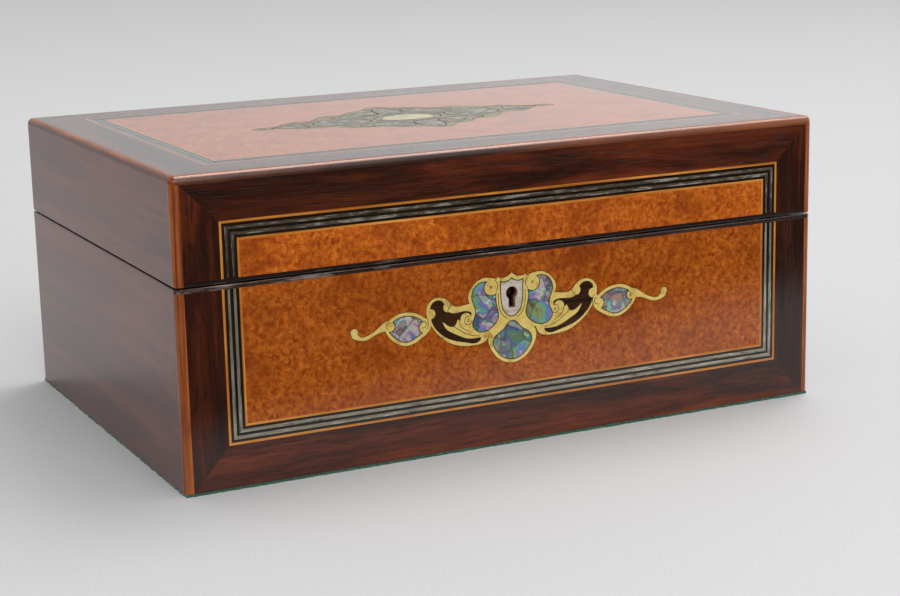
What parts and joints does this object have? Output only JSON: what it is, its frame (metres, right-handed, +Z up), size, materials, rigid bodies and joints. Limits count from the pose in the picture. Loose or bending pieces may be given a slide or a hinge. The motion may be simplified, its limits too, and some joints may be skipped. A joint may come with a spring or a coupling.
{
  "type": "wind-up music box",
  "caption": "Lidded veneered wooden box with inlaid front and lid, a lock and hinges, holding a lever-wound cylinder musical movement under a glazed cover.",
  "frame": {"origin": "middle of the underside of the baize, on the surface that the box stands on", "axes": "+Z up, +X along the front from left to right, the front faces -Y"},
  "size_m": [0.3, 0.211, 0.1283],
  "materials": {
    "baize": "wool cloth, napped",
    "carcass": "varnished hardwood",
    "rosewood": "French polished",
    "burr": "French polished",
    "boxwood": "French polished",
    "ebony": "French polished",
    "pewter": "rubbed",
    "inlay_brass": "polished",
    "shell": "polished iridescent shell",
    "brass": "polished",
    "steel": "polished",
    "blued_steel": "blued",
    "bed_metal": "lacquered",
    "knob_wood": "turned and polished",
    "glass": "clear"
  },
  "bodies": {
    "case": {"baize": "baize", "base_bottom_board": "carcass", "base_walls": "carcass", "base_rosewood_veneers": "rosewood", "base_corner_edging": "boxwood", "base_front_panel": "burr", "base_box_stringing": "boxwood", "base_ebony_stringing": "ebony", "base_pewter_stringing": "pewter", "keyhole_shield": "shell", "front_inlay_brass": "inlay_brass", "front_inlay_abalone": "shell", "front_inlay_ebony": "ebony", "lock_case": "brass", "case_screws": "brass", "hinge_base_leaves": "brass", "hinge_pins": "steel", "partitions": "carcass", "dust_cover_frame": "carcass", "dust_cover_glass": "glass", "bedplate": "bed_metal", "comb": "steel", "comb_base": "bed_metal", "movement_screws": "blued_steel", "bearing_brackets": "brass", "holding_click": "steel", "governor_frame": "brass", "lever_stop": "brass"},
    "lid": {"lid_top_board": "carcass", "lid_walls": "carcass", "lid_rosewood_veneers": "rosewood", "lid_edging": "boxwood", "lid_front_panel": "burr", "lid_top_panel": "burr", "lid_box_stringing": "boxwood", "lid_ebony_stringing": "ebony", "lid_pewter_stringing": "pewter", "lid_inlay_brass": "inlay_brass", "lid_inlay_abalone": "shell", "lock_link_plate": "brass", "hinge_lid_leaves": "brass", "lid_screws": "brass"},
    "lock_bolt": {"lock_bolt": "steel"},
    "winding_lever": {"winding_lever": "steel", "lever_knob": "knob_wood", "drive_pawl": "steel"},
    "winding_arbor": {"barrel_arbor": "steel", "ratchet_wheel": "steel"},
    "spring_barrel": {"barrel_drum": "brass", "barrel_cap": "brass", "mainspring": "blued_steel"},
    "cylinder": {"cylinder_drum": "brass", "cylinder_arbor": "steel", "cylinder_pins": "steel", "cylinder_drive_wheel": "brass", "cylinder_great_wheel": "brass"},
    "first_wheel": {"first_wheel": "brass"},
    "second_wheel": {"second_wheel": "brass"},
    "fly": {"fly": "steel"},
    "stop_lever": {"stop_lever": "brass"}
  },
  "joints": [
    {"name": "lid_hinge", "type": "hinge", "parent": "case", "child": "lid", "pos_m": [0, 0.1045, 0.0843], "axis": [-1, 0, 0], "range_deg": [0, 100]},
    {"name": "lock_bolt_slide", "type": "slide", "parent": "case", "child": "lock_bolt", "axis": [1, 0, 0], "range_m": [0, 0.005]},
    {"name": "winding_lever_swing", "type": "hinge", "parent": "case", "child": "winding_lever", "pos_m": [-0.11765, -0.02, 0.04604], "axis": [1, 0, 0], "range_deg": [0, 100]},
    {"name": "winding_arbor_turn", "type": "hinge", "parent": "case", "child": "winding_arbor", "pos_m": [-0.11, -0.02, 0.04604], "axis": [1, 0, 0], "range_deg": [0, 100], "deforming": ["holding_click"]},
    {"name": "cylinder_spin", "type": "hinge", "parent": "case", "child": "cylinder", "pos_m": [0.009, 0.02, 0.04604], "axis": [1, 0, 0], "continuous": true},
    {"name": "barrel_spin", "type": "hinge", "parent": "case", "child": "spring_barrel", "pos_m": [-0.078, -0.02, 0.04604], "axis": [1, 0, 0], "continuous": true},
    {"name": "first_wheel_spin", "type": "hinge", "parent": "case", "child": "first_wheel", "pos_m": [0.083, -0.0073, 0.04604], "axis": [1, 0, 0], "continuous": true},
    {"name": "second_wheel_spin", "type": "hinge", "parent": "case", "child": "second_wheel", "pos_m": [0.087, -0.02144, 0.04104], "axis": [1, 0, 0], "continuous": true},
    {"name": "fly_spin", "type": "hinge", "parent": "case", "child": "fly", "pos_m": [0.09, -0.02924, 0.045], "axis": [0, 0, 1], "continuous": true},
    {"name": "stop_lever_swing", "type": "hinge", "parent": "case", "child": "stop_lever", "pos_m": [0.105, -0.04224, 0.04354], "axis": [-1, 0, 0], "range_deg": [0, 35]}
  ],
  "couplings": [
    {"joint": "winding_arbor_turn", "follows": "winding_lever_swing", "ratio": 1},
    {"joint": "barrel_spin", "follows": "cylinder_spin", "ratio": -0.66667},
    {"joint": "first_wheel_spin", "follows": "cylinder_spin", "ratio": -6},
    {"joint": "second_wheel_spin", "follows": "cylinder_spin", "ratio": 24},
    {"joint": "fly_spin", "follows": "cylinder_spin", "ratio": 288}
  ]
}
